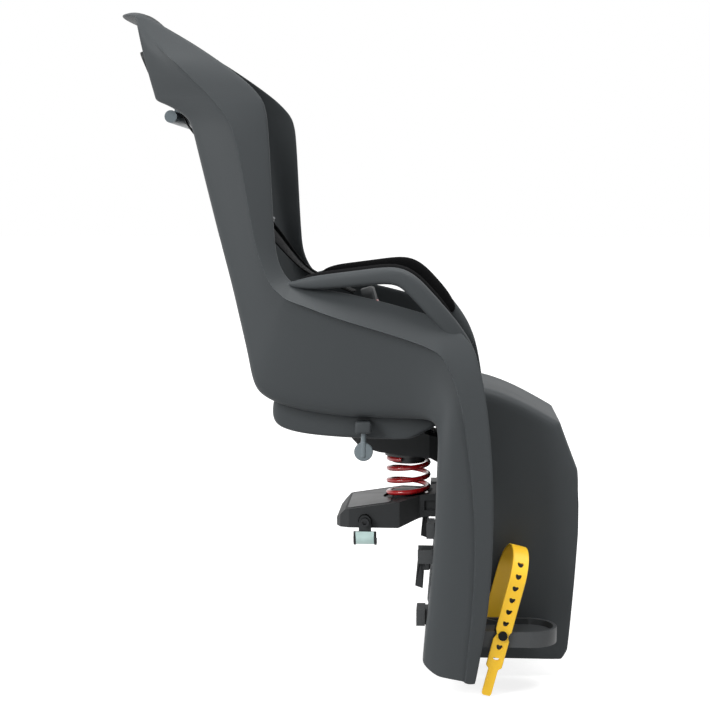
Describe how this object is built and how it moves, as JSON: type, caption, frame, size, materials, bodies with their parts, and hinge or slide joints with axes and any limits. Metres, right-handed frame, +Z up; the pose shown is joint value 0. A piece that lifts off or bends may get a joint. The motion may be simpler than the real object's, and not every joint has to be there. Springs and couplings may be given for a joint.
{
  "type": "child bike seat",
  "caption": "Moulded child seat for a rear bicycle carrier, with a hooded headrest, leg guards, footrests, harness, and a sprung bracket that clamps to the carrier rails.",
  "frame": {"origin": "on top of the carrier's rails, midway between them, over the clamp screw", "axes": "+X forward, +Y to the child's left, +Z up"},
  "size_m": [0.5554, 0.384, 0.7983],
  "materials": {
    "shell_plastic": "fine moulded grain",
    "black_plastic": "satin",
    "foot_plastic": "fine moulded grain",
    "pad_rubber": "matte",
    "cover_plastic": "satin",
    "seat_plastic": "satin",
    "spring_red": "gloss",
    "steel": "zinc plated",
    "bush_plastic": "satin",
    "thumb_grey": "satin",
    "strap_yellow": "satin",
    "stud_plastic": "satin",
    "webbing": "woven",
    "adjuster_grey": "satin",
    "button_red": "gloss",
    "lens_red": "prismatic"
  },
  "bodies": {
    "bracket": {"carrier_housing": "black_plastic", "housing_cover": "cover_plastic", "spring_seat_lower": "seat_plastic", "spring": "spring_red", "pivot_pin": "steel", "pivot_bush_left": "bush_plastic", "pivot_bush_right": "bush_plastic"},
    "seat": {"seat_shell": "shell_plastic", "base_tray": "shell_plastic", "tray_screws": "steel", "upper_arm": "black_plastic", "spring_seat_upper": "seat_plastic", "reflector_frame": "black_plastic", "rear_reflector": "lens_red", "strap_anchor": "thumb_grey", "buckle": "black_plastic", "crotch_strap": "webbing", "armrest_pad_left": "pad_rubber", "armrest_pad_right": "pad_rubber", "shoulder_strap_left": "webbing", "shoulder_strap_right": "webbing", "strap_adjuster_left": "adjuster_grey", "strap_adjuster_right": "adjuster_grey"},
    "thumb": {"thumb_screw": "thumb_grey"},
    "jaw_right": {"jaw_block_right": "black_plastic", "jaw_plate_right": "steel", "clamp_screw": "steel"},
    "jaw_left": {"jaw_block_left": "black_plastic", "jaw_plate_left": "steel", "clamp_nut": "steel"},
    "button": {"buckle_button": "button_red"},
    "foot_right": {"footrest_right": "foot_plastic", "foot_strap_right": "strap_yellow", "strap_stud_right": "stud_plastic", "strap_rivet_right": "stud_plastic"},
    "latch_right": {"footrest_latch_right": "black_plastic"},
    "foot_left": {"footrest_left": "foot_plastic", "foot_strap_left": "strap_yellow", "strap_stud_left": "stud_plastic", "strap_rivet_left": "stud_plastic"},
    "latch_left": {"footrest_latch_left": "black_plastic"}
  },
  "joints": [
    {"name": "suspension", "type": "hinge", "parent": "bracket", "child": "seat", "pos_m": [0.15, 0, 0.052], "axis": [0, -1, 0], "range_deg": [0, 7], "stiffness_Nm_per_rad": 400, "springref_deg": -3.44, "deforming": ["spring"]},
    {"name": "thumb_turn", "type": "hinge", "parent": "seat", "child": "thumb", "pos_m": [0.003, -0.139, 0.13], "axis": [0, 0, 1], "continuous": true},
    {"name": "jaw_right_slide", "type": "slide", "parent": "bracket", "child": "jaw_right", "axis": [0, -1, 0], "range_m": [0, 0.005]},
    {"name": "jaw_left_slide", "type": "slide", "parent": "bracket", "child": "jaw_left", "axis": [0, 1, 0], "range_m": [0, 0.005]},
    {"name": "button_press", "type": "slide", "parent": "seat", "child": "button", "axis": [-0.9659, 0, -0.2588], "range_m": [0, 0.003], "stiffness_N_per_m": 600, "springref_m": -0.003},
    {"name": "foot_right_height", "type": "slide", "parent": "seat", "child": "foot_right", "axis": [0, 0, 1], "range_m": [0, 0.06]},
    {"name": "latch_right_press", "type": "hinge", "parent": "foot_right", "child": "latch_right", "pos_m": [0.07118, -0.137, -0.014], "axis": [0, 1, 0], "range_deg": [0, 12], "stiffness_Nm_per_rad": 0.2, "springref_deg": -8.59},
    {"name": "foot_left_height", "type": "slide", "parent": "seat", "child": "foot_left", "axis": [0, 0, 1], "range_m": [0, 0.06]},
    {"name": "latch_left_press", "type": "hinge", "parent": "foot_left", "child": "latch_left", "pos_m": [0.07118, 0.137, -0.014], "axis": [0, 1, 0], "range_deg": [0, 12], "stiffness_Nm_per_rad": 0.2, "springref_deg": -8.59}
  ],
  "couplings": [
    {"joint": "jaw_left_slide", "follows": "jaw_right_slide", "ratio": 1}
  ]
}
